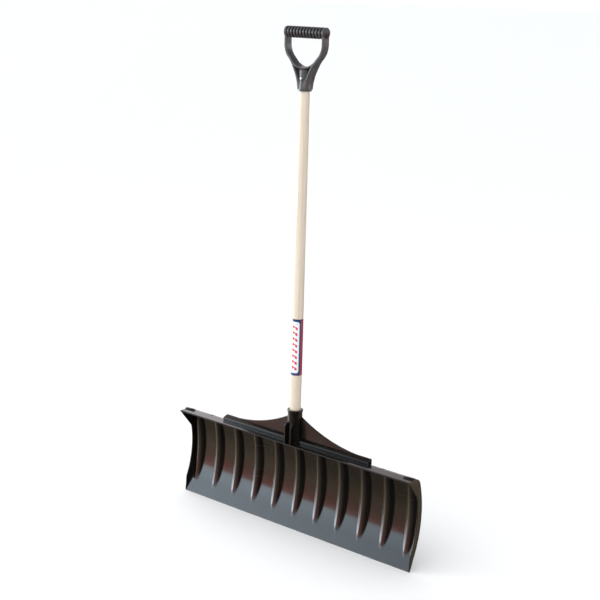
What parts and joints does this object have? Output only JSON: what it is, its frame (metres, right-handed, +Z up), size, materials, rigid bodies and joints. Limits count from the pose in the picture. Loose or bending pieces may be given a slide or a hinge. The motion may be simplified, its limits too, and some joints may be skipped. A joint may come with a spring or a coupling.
{
  "type": "snow shovel",
  "caption": "Wide push-style snow shovel: curved ribbed plastic blade with flange, channel beam and socket, tapered wooden handle and D-shaped hand grip",
  "frame": {"origin": "on the floor under the middle of the tool, where the handle's axis meets the plane of the cutting edge; also the bottom centre of the bounding box", "axes": "X along the blade's width, -Y to the front (the side the blade scoops), +Z up along the handle"},
  "size_m": [0.762, 0.0661, 1.291],
  "materials": {
    "blade": "black moulded polyethylene, glossy with a fine grain",
    "wood": "pale unvarnished ash with straight grain",
    "grip": "black moulded plastic, satin",
    "steel": "zinc-plated steel",
    "label": "printed film, white panel with navy and red bands"
  },
  "bodies": {
    "root": {"blade": "blade", "handle": "wood", "grip": "grip", "socket_screw": "steel", "grip_screw": "steel", "label": "label"}
  },
  "joints": []
}
